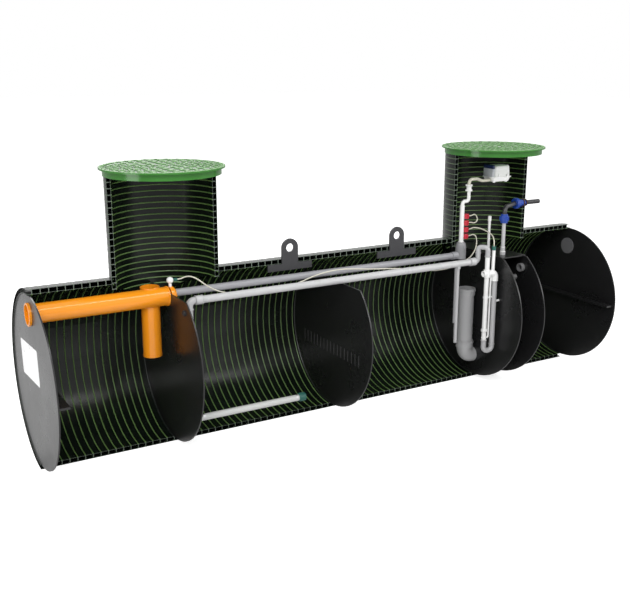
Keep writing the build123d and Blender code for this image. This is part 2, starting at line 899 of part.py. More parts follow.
bend_points = [
    (transfer_x, transfer_y, height(bend_shoulder)),
    (transfer_x, transfer_y, height(transfer_bend_height)),
    (chamber_wall_a_x, transfer_y, height(transfer_bend_height)),
]
with BuildPart() as transfer_bend:
    add(round_bar(bend_points, transfer_bend_radius, drain_radius))
    with BuildSketch(Plane.XY.offset(height(bend_shoulder))):
        with Locations((transfer_x, transfer_y)):
            Circle(socket_radius)
            Circle(socket_bore, mode=Mode.SUBTRACT)
    extrude(amount=bend_socket_length)
    bead_height = bend_shoulder + bend_socket_length - socket_bead_length
    with BuildSketch(Plane.XY.offset(height(bead_height))):
        with Locations((transfer_x, transfer_y)):
            Circle(socket_radius + socket_bead)
            Circle(socket_bore, mode=Mode.SUBTRACT)
    extrude(amount=-socket_bead_length)
    with BuildSketch(Plane.XY.offset(height(bend_shoulder))):
        with Locations((transfer_x, transfer_y)):
            Circle(socket_radius)
    extrude(amount=-drain_socket_wall)
    add(round_bar(bend_points, transfer_bend_radius, drain_bore), mode=Mode.SUBTRACT)
save(transfer_bend.part, "transfer_bend")

# Vent pipe with a flared, open top
with BuildPart() as vent_pipe:
    with BuildSketch(Plane.XY.offset(height(chamber_cover_top))):
        with Locations((vent_x, vent_y)):
            Circle(vent_radius)
    extrude(amount=vent_top - chamber_cover_top)
    with BuildSketch(Plane.XY.offset(height(vent_top))):
        with Locations((vent_x, vent_y)):
            Circle(vent_flare_radius)
    extrude(amount=-vent_flare_length)
    with BuildSketch(Plane.XY.offset(height(vent_top))):
        with Locations((vent_x, vent_y)):
            Circle(vent_radius - 1)
    extrude(amount=-vent_flare_length, mode=Mode.SUBTRACT)
save(vent_pipe.part, "vent_pipe")

# Cup at the end of the far air pipe, with a round shoulder up to its neck
with BuildPart() as manifold_cup:
    with BuildSketch(Plane.XZ):
        with BuildLine():
            Polyline(
                (manifold_x, height(cup_top)),
                (manifold_x, height(cup_bottom)),
                (manifold_x + cup_radius, height(cup_bottom)),
                (manifold_x + cup_radius, height((cup_bottom + cup_top) / 2)),
            )
            Spline(
                (manifold_x + cup_radius, height((cup_bottom + cup_top) / 2)),
                (manifold_x + cup_neck_radius, height(cup_top)),
                tangents=((0, 1), (-1, 1)),
            )
            Line(
                (manifold_x + cup_neck_radius, height(cup_top)),
                (manifold_x, height(cup_top)),
            )
        make_face()
    revolve(axis=Axis((manifold_x, 0, 0), (0, 0, 1)))
save(manifold_cup.part, "manifold_cup")

# Manifold pipe with its swan neck and the union nut
with BuildPart() as manifold_pipe:
    add(
        rod(
            (manifold_x, 0, height(cup_top)),
            (manifold_x, 0, height(manifold_top)),
            manifold_radius,
        )
    )
    neck_height = manifold_top + 24
    add(
        round_bar(
            [
                (manifold_x, 0, height(manifold_top)),
                (manifold_x, 0, height(neck_height)),
                (union_x, 0, height(neck_height)),
                (union_x, 0, height(union_bottom)),
            ],
            20,
            swan_neck_radius,
        )
    )
    ring_height = union_length / 4
    for ring_bottom, ring_radius, ring_length in (
        (union_bottom, union_radius, ring_height),
        (union_bottom + ring_height, union_body_radius, 2 * ring_height),
        (union_bottom + 3 * ring_height, union_radius, ring_height),
    ):
        add(
            rod(
                (union_x, 0, height(ring_bottom)),
                (union_x, 0, height(ring_bottom + ring_length)),
                ring_radius,
            )
        )
save(manifold_pipe.part, "manifold_pipe")

# Four air valves on the side of the manifold
valve_x = manifold_x + manifold_radius + valve_clearance + valve_radius
nozzle_end_x = valve_x + valve_radius + valve_nozzle_length
with BuildPart() as air_valves:
    for valve_height in valve_heights:
        add(
            rod(
                (valve_x, 0, height(valve_height - valve_length / 2)),
                (valve_x, 0, height(valve_height + valve_length / 2)),
                valve_radius,
            )
        )
        add(
            rod(
                (manifold_x, 0, height(valve_height)),
                (valve_x, 0, height(valve_height)),
                valve_neck_radius,
            )
        )
        add(
            rod(
                (valve_x, 0, height(valve_height)),
                (nozzle_end_x, 0, height(valve_height)),
                valve_nozzle_radius,
            )
        )
    add(manifold_pipe.part, mode=Mode.SUBTRACT)
save(air_valves.part, "air_valves")

# Blower: base on four feet, hood, air filter and the filter's cap
base_top = blower_bottom + blower_base_height
flange_top = base_top + blower_flange
with BuildPart() as blower_base:
    with BuildSketch(Plane.XY.offset(height(blower_bottom + blower_foot_height))):
        with Locations((blower_x, blower_y)):
            RectangleRounded(blower_length - 24, blower_width - 16, 12)
    with BuildSketch(Plane.XY.offset(height(base_top))):
        with Locations((blower_x, blower_y)):
            RectangleRounded(blower_length, blower_width, 14)
    loft()
    with BuildSketch(Plane.XY.offset(height(base_top))):
        with Locations((blower_x, blower_y)):
            RectangleRounded(
                blower_length + 2 * blower_flange_margin,
                blower_width + 2 * blower_flange_margin,
                16,
            )
    extrude(amount=blower_flange)
    with BuildSketch(Plane.XY.offset(height(blower_bottom))):
        with Locations((blower_x, blower_y)):
            with GridLocations(blower_length - 56, blower_width - 44, 2, 2):
                Circle(9)
    extrude(amount=blower_foot_height)
save(blower_base.part, "blower_base")

hood_length = blower_length - filter_length
hood_centre_x = blower_x + filter_length / 2
with BuildPart() as blower_hood:
    with BuildSketch(Plane.XY.offset(height(flange_top))):
        with Locations((hood_centre_x, blower_y)):
            RectangleRounded(hood_length, blower_width - 4, hood_corner)
    extrude(amount=hood_height, taper=4)
    fillet(blower_hood.faces().sort_by(Axis.Z)[-1].edges(), 0.7 * hood_corner)
save(blower_hood.part, "blower_hood")

filter_centre_x = blower_x - (blower_length - filter_length) / 2
with BuildPart() as blower_filter:
    with BuildSketch(Plane.XY.offset(height(flange_top))):
        with Locations((filter_centre_x, blower_y)):
            RectangleRounded(filter_length, filter_width, filter_length / 4)
    extrude(amount=filter_height)
save(blower_filter.part, "blower_filter")

with BuildPart() as blower_filter_cap:
    with BuildSketch(Plane.XY.offset(height(flange_top + filter_height))):
        with Locations((filter_centre_x, blower_y)):
            RectangleRounded(filter_length, filter_width + 4, filter_length / 4)
    extrude(amount=filter_cap_height)
    fillet(blower_filter_cap.faces().sort_by(Axis.Z)[-1].edges(), filter_length / 4)
save(blower_filter_cap.part, "blower_filter_cap")

# Hose from the union to the blower
blower_nozzle_x = blower_x - blower_length / 2 + 6
blower_inlet = blower_bottom + blower_inlet_height
hose_crest = union_bottom + union_length + blower_hose_rise
blower_hose_points = [
    (union_x, 0, height(union_bottom + union_length)),
    (union_x, 0, height(hose_crest)),
    (union_x + 72, 4, height(hose_crest)),
    (blower_nozzle_x - 78, 8, height(blower_inlet)),
    (blower_nozzle_x, 12, height(blower_inlet)),
]
with BuildPart() as blower_hose:
    add(round_bar(blower_hose_points, [26, 40, 40], blower_hose_radius))
    add(blower_base.part, mode=Mode.SUBTRACT)
save(blower_hose.part, "blower_hose")

# Bracket behind the blower, fixed to the riser's inside
bracket_plane = Plane(
    origin=(blower_x, blower_y, height(base_top - bracket_thickness)),
    x_dir=(1, 1, 0),
    z_dir=(0, 0, 1),
)
with BuildPart() as blower_bracket:
    with BuildSketch(bracket_plane):
        Rectangle(
            2 * riser_inner_radius, bracket_width, align=(Align.MIN, Align.CENTER)
        )
    extrude(amount=bracket_thickness)
    with BuildSketch(Plane.XY.offset(height(blower_bottom))):
        with Locations((riser_2_x, 0)):
            Circle(riser_inner_radius)
    extrude(amount=blower_base_height, mode=Mode.INTERSECT)
    add(blower_base.part, mode=Mode.SUBTRACT)
save(blower_bracket.part, "blower_bracket")

# Outflow pipe on the chamber cover, with its base and collar
outflow_collar_bottom = chamber_cover_top + outflow_base_length
with BuildPart() as outflow_pipe:
    for ring_bottom, ring_top, ring_radius in (
        (chamber_cover_top, outflow_collar_bottom, outflow_base_radius),
        (outflow_collar_bottom, outflow_collar_bottom + outflow_collar_length, outflow_collar_radius),
        (outflow_collar_bottom + outflow_collar_length, outflow_top, outflow_radius),
    ):
        add(
            rod(
                (outflow_x, outflow_y, height(ring_bottom)),
                (outflow_x, outflow_y, height(ring_top)),
                ring_radius,
            )
        )
save(outflow_pipe.part, "outflow_pipe")

# Compression fittings: one on the outflow pipe, one at the riser's wall
fitting_top = outflow_top + fitting_length
wall_fitting_end = riser_2_x + riser_inner_radius
wall_fitting_start = wall_fitting_end - wall_fitting_length
shank_end = riser_2_x + riser_outer_radius + shank_reach
with BuildPart() as outflow_fittings:
    for ring_bottom, ring_radius, ring_length in (
        (outflow_top, fitting_body_radius, 0.24 * fitting_length),
        (outflow_top + 0.24 * fitting_length, nut_radius, 0.56 * fitting_length),
        (outflow_top + 0.8 * fitting_length, fitting_body_radius, 0.2 * fitting_length),
    ):
        add(
            rod(
                (outflow_x, outflow_y, height(ring_bottom)),
                (outflow_x, outflow_y, height(ring_bottom + ring_length)),
                ring_radius,
            )
        )
    add(
        rod(
            (wall_fitting_start, 0, height(outlet_height)),
            (wall_fitting_start + wall_nut_length, 0, height(outlet_height)),
            wall_nut_radius,
        )
    )
    body_plane = Plane(
        origin=(wall_fitting_start + wall_nut_length, 0, height(outlet_height)),
        z_dir=(1, 0, 0),
    )
    with BuildSketch(body_plane):
        Circle(nut_radius)
    with BuildSketch(body_plane.offset(wall_fitting_length - wall_nut_length)):
        Circle(wall_body_radius)
    loft()
    with BuildSketch(Plane.XY.offset(height(outlet_height - wall_nut_radius))):
        with Locations((riser_2_x, 0)):
            Circle(2 * riser_inner_radius)
            Circle(riser_inner_radius, mode=Mode.SUBTRACT)
    extrude(amount=2 * wall_nut_radius, mode=Mode.SUBTRACT)
    add(
        rod(
            (wall_fitting_start, 0, height(outlet_height)),
            (shank_end, 0, height(outlet_height)),
            shank_radius,
        )
    )
save(outflow_fittings.part, "outflow_fittings")

# Polyethylene pipe: the bend between the fittings, and the run through the riser's wall
with BuildPart() as poly_pipe:
    add(
        round_bar(
            [
                (outflow_x, outflow_y, height(fitting_top)),
                (outflow_x, outflow_y, height(fitting_top + outlet_elbow_rise)),
                (wall_fitting_start, 0, height(outlet_height)),
            ],
            40,
            poly_pipe_radius,
        )
    )
    add(outflow_fittings.part, mode=Mode.SUBTRACT)
    add(
        rod(
            (shank_end, 0, height(outlet_height)),
            (poly_pipe_end_x, 0, height(outlet_height)),
            poly_pipe_radius,
        )
    )
save(poly_pipe.part, "poly_pipe")

# Air hoses: one loops back to its neighbour valve, one feeds the airlift, and one
# runs along the air pipes to the pressure fitting
tail_end_x = ring_tail_x + ring_tail_length
loop_top = valve_heights[3]
loop_bottom = valve_heights[2]
loop_top = valve_heights[3]
loop_bottom = valve_heights[2]
hose_routes = {
    "loop_hose": [
        (nozzle_end_x, 0, height(loop_top)),
        (3046, 0, height(loop_top)),
        (3072.6, 2, height(loop_top + 8.7)),
        (3097.5, 4, height(loop_top - 8.1)),
        (3097.5, -4, height(loop_bottom + 8.1)),
        (3072.6, -2, height(loop_bottom - 8.7)),
        (3046, 0, height(loop_bottom)),
        (nozzle_end_x, 0, height(loop_bottom)),
    ],
    "airlift_hose": [
        (nozzle_end_x, 0, height(valve_heights[1])),
        (3040, 0, height(valve_heights[1])),
        (3062, -5, height(valve_heights[1] + 10)),
        (3095, -39, height(valve_heights[1] + 7)),
        (3111, -90, height(570)),
        (3099, -150, height(562)),
        (3075, -205, height(550)),
        (3057, -234, height(536)),
        (air_tube_x, air_tube_y, height(air_tube_top + hose_tail_length + 20)),
        (air_tube_x, air_tube_y, height(air_tube_top + hose_tail_length)),
    ],
    "long_hose": [
        (nozzle_end_x, 0, height(valve_heights[0])),
        (3040, 0, height(valve_heights[0])),
        (3062, -3, height(valve_heights[0] + 8)),
        (3084, -7, height(valve_heights[0] - 3)),
        (3092, -12, height(valve_heights[0] - 30)),
        (3088, -18, height(465)),
        (3064, -33, height(430)),
        (3012, -60, height(401)),
        (2961, -85, height(387)),
        (2882, -110, height(370)),
        (2785, -129, height(355)),
        (2676, -135, height(351)),
        (2565, -136, height(360)),
        (2458, -137, height(380)),
        (2350, -133, height(399)),
        (2240, -130, height(410)),
        (2128, -125, height(419)),
        (2016, -119, height(432)),
        (1906, -117, height(443)),
        (1795, -121, height(438)),
        (1690, -129, height(422)),
        (1590, -138, height(395)),
        (1490, -145, height(382)),
        (1380, -149, height(381)),
        (1268, -148, height(384)),
        (1160, -142, height(383)),
        (1062, -116, height(407)),
        (1008, -84, height(440)),
        (966, -56, height(479)),
        (930, -32, height(498)),
        (902, -10, height(492)),
        (tail_end_x + 22, 0, height(ring_fitting_height)),
        (tail_end_x, 0, height(ring_fitting_height)),
    ],
}
for label, points in hose_routes.items():
    radii = corner_radii(points)
    hose = round_bar(points, radii, hose_radius)
    section = pi * hose_radius**2
    runs = sum(hypot(*(b - a for a, b in zip(p, q))) for p, q in zip(points, points[1:]))
    print(label, "radii", [round(r) for r in radii])
    print(label, "runs", round(runs), "length", round(hose.volume / section))
    save(hose, label)
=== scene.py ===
"""Packaged sewage treatment plant, shown in section: the finished look of each piece,
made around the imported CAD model. Metres, in the frame of the CAD: +X from the inlet end
to the outlet end, +Y to the back, +Z up, and the tank's lowest line at z = 0."""

from math import pi, radians

import bpy
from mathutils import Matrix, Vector


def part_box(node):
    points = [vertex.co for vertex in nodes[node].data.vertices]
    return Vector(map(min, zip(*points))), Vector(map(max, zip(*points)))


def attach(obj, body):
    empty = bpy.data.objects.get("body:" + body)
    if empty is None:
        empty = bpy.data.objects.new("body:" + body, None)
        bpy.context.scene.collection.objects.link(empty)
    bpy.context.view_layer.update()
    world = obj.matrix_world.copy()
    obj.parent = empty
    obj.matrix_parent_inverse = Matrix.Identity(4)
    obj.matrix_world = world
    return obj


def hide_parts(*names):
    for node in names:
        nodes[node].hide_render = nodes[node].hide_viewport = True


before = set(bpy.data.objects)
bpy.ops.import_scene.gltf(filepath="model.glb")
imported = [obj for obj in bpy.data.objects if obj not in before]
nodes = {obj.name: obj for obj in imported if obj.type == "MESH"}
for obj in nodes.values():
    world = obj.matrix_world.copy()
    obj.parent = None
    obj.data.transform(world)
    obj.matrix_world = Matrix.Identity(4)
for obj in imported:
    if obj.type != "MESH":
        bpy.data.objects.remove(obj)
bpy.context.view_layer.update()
bpy.ops.object.select_all(action="DESELECT")

# Wound wall of the tank and of its two risers. The real one is an extruded polyethylene
# box profile, wound into a pipe and welded turn to turn; its inside is smooth and dark,
# and the saw has left the cut faces paler and duller than the skins.
axis_height = 0.525
inner_radius = 0.497
outer_radius = 0.525
cell_pitch = 0.0453
first_web_x = 0.029
riser_inner_radius = 0.302
riser_outer_radius = 0.327
riser_centres = (0.797, 3.211)
riser_top = axis_height + 1.136
riser_rim = 0.0285
riser_pitch = 0.0355
wall_black = (0.004, 0.0065, 0.0045)
saw_cut_grey = (0.14, 0.17, 0.14)
saw_cut_depth = 0.0006


def plastic_grain_group():
    """Faint blotches, scuffs and fine grain, as on moulded and extruded plastics."""
    group = bpy.data.node_groups.new("plastic_grain", "ShaderNodeTree")
    for name, kind, value in (
        ("Colour", "NodeSocketColor", (0.5, 0.5, 0.5, 1)),
        ("Roughness", "NodeSocketFloat", 0.4),
        ("Blotch", "NodeSocketFloat", 0.1),
        ("Blotch Size", "NodeSocketFloat", 6.0),
        ("Grain Size", "NodeSocketFloat", 700.0),
    ):
        socket = group.interface.new_socket(name, in_out="INPUT", socket_type=kind)
        socket.default_value = value
    for name, kind in (
        ("Colour", "NodeSocketColor"),
        ("Roughness", "NodeSocketFloat"),
        ("Height", "NodeSocketFloat"),
    ):
        group.interface.new_socket(name, in_out="OUTPUT", socket_type=kind)
    nodes_, link = group.nodes, group.links.new
    inputs = nodes_.new("NodeGroupInput")
    outputs = nodes_.new("NodeGroupOutput")
    place = nodes_.new("ShaderNodeTexCoord")
    blotches = nodes_.new("ShaderNodeTexNoise")
    blotches.inputs["Detail"].default_value = 4
    blotches.inputs["Roughness"].default_value = 0.6
    grain = nodes_.new("ShaderNodeTexNoise")
    grain.inputs["Detail"].default_value = 2
    link(place.outputs["Object"], blotches.inputs["Vector"])
    link(place.outputs["Object"], grain.inputs["Vector"])
    link(inputs.outputs["Blotch Size"], blotches.inputs["Scale"])
    link(inputs.outputs["Grain Size"], grain.inputs["Scale"])
    swing = nodes_.new("ShaderNodeMath")
    swing.operation = "SUBTRACT"
    swing.inputs[1].default_value = 0.5
    link(blotches.outputs["Fac"], swing.inputs[0])
    amount = nodes_.new("ShaderNodeMath")
    amount.operation = "MULTIPLY_ADD"
    amount.inputs[2].default_value = 1.0
    link(swing.outputs[0], amount.inputs[0])
    link(inputs.outputs["Blotch"], amount.inputs[1])
    shade = nodes_.new("ShaderNodeVectorMath")
    shade.operation = "SCALE"
    link(inputs.outputs["Colour"], shade.inputs[0])
    link(amount.outputs[0], shade.inputs["Scale"])
    link(shade.outputs[0], outputs.inputs["Colour"])
    rough = nodes_.new("ShaderNodeMath")
    rough.operation = "MULTIPLY_ADD"
    rough.inputs[1].default_value = 0.25
    link(swing.outputs[0], rough.inputs[0])
    link(inputs.outputs["Roughness"], rough.inputs[2])
    link(rough.outputs[0], outputs.inputs["Roughness"])
    link(grain.outputs["Fac"], outputs.inputs["Height"])
    return group


plastic_grain = plastic_grain_group()


def plastic(name, colour, roughness, blotch=0.12, size=6.0, grain=700.0, bump=0.0002):
    """A plastic with its grain; returns the material, its tree, grain node and shader."""
    material = bpy.data.materials.new(name)
    material.use_nodes = True
    tree = material.node_tree
    shader = tree.nodes["Principled BSDF"]
    surface = tree.nodes.new("ShaderNodeGroup")
    surface.node_tree = plastic_grain
    surface.inputs["Colour"].default_value = (*colour, 1)
    surface.inputs["Roughness"].default_value = roughness
    surface.inputs["Blotch"].default_value = blotch
    surface.inputs["Blotch Size"].default_value = size
    surface.inputs["Grain Size"].default_value = grain
    relief = tree.nodes.new("ShaderNodeBump")
    relief.inputs["Strength"].default_value = 0.5
    relief.inputs["Distance"].default_value = bump
    tree.links.new(surface.outputs["Colour"], shader.inputs["Base Color"])
    tree.links.new(surface.outputs["Roughness"], shader.inputs["Roughness"])
    tree.links.new(surface.outputs["Height"], relief.inputs["Height"])
    tree.links.new(relief.outputs["Normal"], shader.inputs["Normal"])
    return material, tree, surface, shader


def math_node(tree, operation, *values):
    """A Math node fed by sockets or plain numbers; gives its output socket."""
    node = tree.nodes.new("ShaderNodeMath")
    node.operation = operation
    for socket, value in zip(node.inputs, values):
        if isinstance(value, bpy.types.NodeSocket):
            tree.links.new(value, socket)
        else:
            socket.default_value = value
    return node.outputs[0]


def mix_colours(tree, factor, first, second):
    """A colour between two, each a socket or three numbers."""
    node = tree.nodes.new("ShaderNodeMix")
    node.data_type = "RGBA"
    tree.links.new(factor, node.inputs["Factor"])
    for socket, value in ((node.inputs[6], first), (node.inputs[7], second)):
        if isinstance(value, bpy.types.NodeSocket):
            tree.links.new(value, socket)
        else:
            socket.default_value = (*value, 1)
    return node.outputs[2]


def object_axes(tree):
    """The X, Y and Z of a point in the frame of the object, as three sockets."""
    place = tree.nodes.new("ShaderNodeTexCoord")
    parts = tree.nodes.new("ShaderNodeSeparateXYZ")
    tree.links.new(place.outputs["Object"], parts.inputs[0])
    return parts.outputs


def wound_wall_material():
    """Black polyethylene, paler where it lies in the plane of the saw cut."""
    material, tree, surface, shader = plastic(
        "wound_wall", wall_black, 0.24, blotch=0.6, size=9.0
    )
    shader.inputs["Specular IOR Level"].default_value = 0.28
    off_cut = math_node(tree, "ABSOLUTE", object_axes(tree)["Y"])
    cut = math_node(tree, "LESS_THAN", off_cut, saw_cut_depth)
    colour = mix_colours(tree, cut, wall_black, saw_cut_grey)
    tree.links.new(colour, surface.inputs["Colour"])
    return material


def dress(names, material):
    """Gives CAD nodes their finished material."""
    for name in names:
        nodes[name].data.materials.clear()
        nodes[name].data.materials.append(material)


tank_walls = [f"tank_wall_{number}" for number in range(1, 6)]
riser_walls = [f"riser_{riser}_wall_{number}" for riser in (1, 2) for number in (1, 2, 3)]
dress(tank_walls + riser_walls, wound_wall_material())

# Weld lines between the turns of the wall: a bead of extruded green polyethylene inside,
# and a lower one outside. They run half round, from the saw cut to the saw cut, and stop
# at the risers.
along, across, upright = (1, 0, 0), (0, 1, 0), (0, 0, 1)
to_front = (0, -1, 0)
bead_half_width = 0.0038
bead_depth = 0.0034
bead_proud = 0.001
outside_bead_depth = 0.0018
outside_bead_sunk = 0.0008
section_margin = 0.0002
tank_turns = 88
riser_turns = 23
riser_foot_radius = 0.4635


def pick_only(*pieces):
    """Selects these pieces and no others, with the first one active."""
    bpy.ops.object.select_all(action="DESELECT")
    for piece in pieces:
        piece.select_set(True)
    bpy.context.view_layer.objects.active = pieces[0]


def settle(piece, name, material, smooth=40):
    """Puts a finished piece's place into its mesh, and gives it its name and finish."""
    pick_only(piece)
    bpy.ops.object.transform_apply(location=True, rotation=True, scale=True)
    bpy.ops.object.shade_smooth_by_angle(angle=radians(smooth))
    piece.name = name
    piece.data.name = name
    piece.data.materials.clear()
    piece.data.materials.append(material)
    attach(piece, "root")
    return piece


def slice_off(piece, place, away):
    """Cuts a piece along a plane, closes it, and drops the side that faces away."""
    pick_only(piece)
    bpy.ops.object.mode_set(mode="EDIT")
    bpy.ops.mesh.select_all(action="SELECT")
    bpy.ops.mesh.bisect(plane_co=place, plane_no=away, use_fill=True, clear_outer=True)
    bpy.ops.object.mode_set(mode="OBJECT")


def carve(piece, tool):
    """Takes a tool's space out of a piece, and removes the tool."""
    pick_only(piece)
    modifier = piece.modifiers.new("carve", "BOOLEAN")
    modifier.operation = "DIFFERENCE"
    modifier.object = tool
    modifier.solver = "EXACT"
    bpy.ops.object.modifier_apply(modifier=modifier.name)
    bpy.data.objects.remove(tool, do_unlink=True)


def repeat(piece, count, step):
    """Copies a piece along a straight line, into the same mesh."""
    pick_only(piece)
    modifier = piece.modifiers.new("repeat", "ARRAY")
    modifier.count = count
    modifier.use_relative_offset = False
    modifier.use_constant_offset = True
    modifier.constant_offset_displace = step
    bpy.ops.object.modifier_apply(modifier=modifier.name)


def ring(centre, axis, ring_radius, half_width, half_depth, steps=64, sides=8):
    """A ring of oval section about an axis; the width runs along the axis."""
    bpy.ops.mesh.primitive_torus_add(
        location=centre,
        rotation=Vector(axis).to_track_quat("Z", "Y").to_euler(),
        major_segments=steps,
        minor_segments=sides,
        major_radius=ring_radius,
        minor_radius=half_depth,
    )
    piece = bpy.context.object
    piece.scale = (1, 1, half_width / half_depth)
    pick_only(piece)
    bpy.ops.object.transform_apply(location=True, rotation=True, scale=True)
    return piece


def drum(centre, axis, radius, length, sides=64):
    """A plain round tool for cutting, centred on a place."""
    bpy.ops.mesh.primitive_cylinder_add(
        vertices=sides,
        radius=radius,
        depth=length,
        location=centre,
        rotation=Vector(axis).to_track_quat("Z", "Y").to_euler(),
    )
    return bpy.context.object


weld_green, *_ = plastic("weld_green", (0.115, 0.205, 0.06), 0.42, blotch=0.35, size=30)
weld_olive, *_ = plastic("weld_olive", (0.05, 0.085, 0.035), 0.45, blotch=0.35, size=30)
weld_dark, *_ = plastic("weld_dark", (0.012, 0.016, 0.013), 0.4, blotch=0.3, size=30)
opening_radius = (riser_inner_radius + riser_outer_radius) / 2
opening_middle = axis_height + 0.45
opening_depth = 0.34
for name, ring_radius, half_depth, material in (
    ("tank_weld_inside", inner_radius - bead_proud, bead_depth, weld_green),
    ("tank_weld_outside", outer_radius - outside_bead_sunk, outside_bead_depth, weld_olive),
):
    tank_weld = ring(
        (first_web_x, 0, axis_height),
        along,
        ring_radius,
        bead_half_width,
        half_depth,
        steps=96,
        sides=6,
    )
    slice_off(tank_weld, (0, section_margin, 0), to_front)
    repeat(tank_weld, tank_turns, (cell_pitch, 0, 0))
    for centre_x in riser_centres:
        opening = drum((centre_x, 0, opening_middle), upright, opening_radius, opening_depth)
        carve(tank_weld, opening)
    settle(tank_weld, name, material)

riser_bead_radius = riser_inner_radius - bead_proud
riser_outside_bead_radius = riser_outer_radius - outside_bead_sunk
for number, centre_x in enumerate(riser_centres, 1):
    for side, ring_radius, half_depth, foot_radius, material in (
        ("inside", riser_bead_radius, bead_depth, riser_foot_radius, weld_green),
        ("outside", riser_outside_bead_radius, outside_bead_depth, outer_radius, weld_olive),
    ):
        riser_weld = ring(
            (centre_x, 0, riser_top - riser_rim),
            upright,
            ring_radius,
            bead_half_width,
            half_depth,
            steps=72,
            sides=6,
        )
        slice_off(riser_weld, (0, section_margin, 0), to_front)
        repeat(riser_weld, riser_turns, (0, 0, -riser_pitch))
        foot = drum((centre_x, 0, axis_height), along, foot_radius, 1.0, sides=128)
        carve(riser_weld, foot)
        settle(riser_weld, f"riser_{number}_weld_{side}", material)

# Covers of the risers: moulded green composite with a raised anti-slip pattern of short
# bars in rings, lifted on and off by hand. The top face between the bars is painted a darker
# green than the skirt, as painted shade, and the bars a lighter green, as painted light.
cover_radius = 0.354
cover_face = riser_top + 0.008
tread_length = 0.044
tread_width = 0.015
tread_height = 0.0042
tread_edge = 0.0016
tread_sunk = 0.0006
tread_turn = 35
tread_rows = 9
first_row_radius = 0.030
row_pitch = 0.0382
tread_pitch = 0.062
rim_inset = 0.008
rim_half_width, rim_half_depth = 0.003, 0.005
# Painted shade: the top face, from just below its height, takes a darker green than the skirt.
painted_shade_top_starts = cover_face - 0.0008
skirt_colour = (0.035, 0.175, 0.022)
top_painted_shade_colour = (0.035, 0.13, 0.03)
cover_green, cover_tree, cover_surface, _ = plastic(
    "cover_green", skirt_colour, 0.16, blotch=0.25, size=14
)
on_top_painted_shade = math_node(cover_tree, "GREATER_THAN", object_axes(cover_tree)["Z"], painted_shade_top_starts)
cover_tree.links.new(
    mix_colours(cover_tree, on_top_painted_shade, skirt_colour, top_painted_shade_colour),
    cover_surface.inputs["Colour"],
)
dress(["cover_1", "cover_2"], cover_green)
# Painted light: the bars take a lighter green than the cover's own green.
tread_painted_light_green, *_ = plastic("tread_painted_light_green", (0.14, 0.31, 0.105), 0.4, blotch=0.25, size=20)


def bevelled_block(size, place, width, segments=2, turn=0.0):
    """A block with rounded edges, turned about Z, its place still in its object."""
    bpy.ops.mesh.primitive_cube_add(size=1, location=place, rotation=(0, 0, turn))
    block = bpy.context.object
    block.scale = size
    bpy.ops.object.transform_apply(location=False, rotation=False, scale=True)
    modifier = block.modifiers.new("round", "BEVEL")
    modifier.width = width
    modifier.segments = segments
    bpy.ops.object.modifier_apply(modifier=modifier.name)
    return block


def round_copies(piece, centre, axis, count):
    """Copies a piece evenly round an axis, into the same mesh."""
    pick_only(piece)
    bpy.ops.object.transform_apply(location=True, rotation=True, scale=True)
    bpy.context.scene.cursor.location = centre
    bpy.ops.object.origin_set(type="ORIGIN_CURSOR")
    pivot = bpy.data.objects.new("pivot", None)
    bpy.context.scene.collection.objects.link(pivot)
    pivot.location = centre
    pivot.rotation_mode = "AXIS_ANGLE"
    pivot.rotation_axis_angle = (2 * pi / count, *axis)
    bpy.context.view_layer.update()
    modifier = piece.modifiers.new("round", "ARRAY")
    modifier.count = count
    modifier.use_relative_offset = False
    modifier.use_object_offset = True
    modifier.offset_object = pivot
    bpy.ops.object.modifier_apply(modifier=modifier.name)
    bpy.data.objects.remove(pivot, do_unlink=True)
    bpy.ops.object.transform_apply(location=True, rotation=True, scale=True)
    return piece


def joined(pieces):
    """Joins pieces into the first one."""
    pick_only(*pieces)
    bpy.ops.object.join()
    return pieces[0]


for number, centre_x in enumerate(riser_centres, 1):
    cover_centre = (centre_x, 0, cover_face)
    treads = []
    for row in range(tread_rows):
        row_radius = first_row_radius + row_pitch * row
        place = (centre_x + row_radius, 0, cover_face + tread_height / 2 - tread_sunk)
        turn = radians(tread_turn if row % 2 else -tread_turn) + pi / 2
        tread = bevelled_block(
            (tread_length, tread_width, tread_height), place, tread_edge, segments=1, turn=turn
        )
        count = int(2 * pi * row_radius / tread_pitch)
        treads.append(round_copies(tread, cover_centre, upright, count))
    rim_radius = cover_radius - rim_inset
    rim = ring(cover_centre, upright, rim_radius, rim_half_width, rim_half_depth, steps=128)
    settle(joined([*treads, rim]), f"cover_{number}_treads", tread_painted_light_green)

# End plates, bulkheads, the slotted baffle and the chamber's walls and cover plate: black
# polyethylene sheet. The sheets that cross the tank are cut to its bore and welded in from
# both faces, with a dark bead.
plate_black, *_ = plastic("plate_black", (0.0105, 0.0105, 0.011), 0.29, blotch=0.5, size=2.2)
plate_names = [
    "inlet_end_plate",
    "outlet_end_plate",
    "end_plate_ribs",
    "bulkhead_1",
    "slotted_baffle",
    "chamber_wall_a",
    "chamber_wall_b",
    "chamber_cover",
]
dress(plate_names, plate_black)
plate_thickness = 0.008
plate_weld_radius = inner_radius - 0.001
plate_weld_half_width, plate_weld_depth = 0.005, 0.0045
chamber_weld_top = 0.34
baffle_top = 0.354
plate_welds = []
for left_x, top in (
    (0.006, None),
    (0.797, chamber_weld_top),
    (1.904, baffle_top),
    (3.104, chamber_weld_top),
    (3.310, chamber_weld_top),
    (3.985, None),
):
    for face_x in (left_x, left_x + plate_thickness):
        weld = ring(
            (face_x, 0, axis_height),
            along,
            plate_weld_radius,
            plate_weld_half_width,
            plate_weld_depth,
            steps=96,
            sides=6,
        )
        slice_off(weld, (0, section_margin, 0), to_front)
        if top is not None:
            slice_off(weld, (0, 0, axis_height + top), upright)
        plate_welds.append(weld)
settle(joined(plate_welds), "plate_welds", weld_dark)

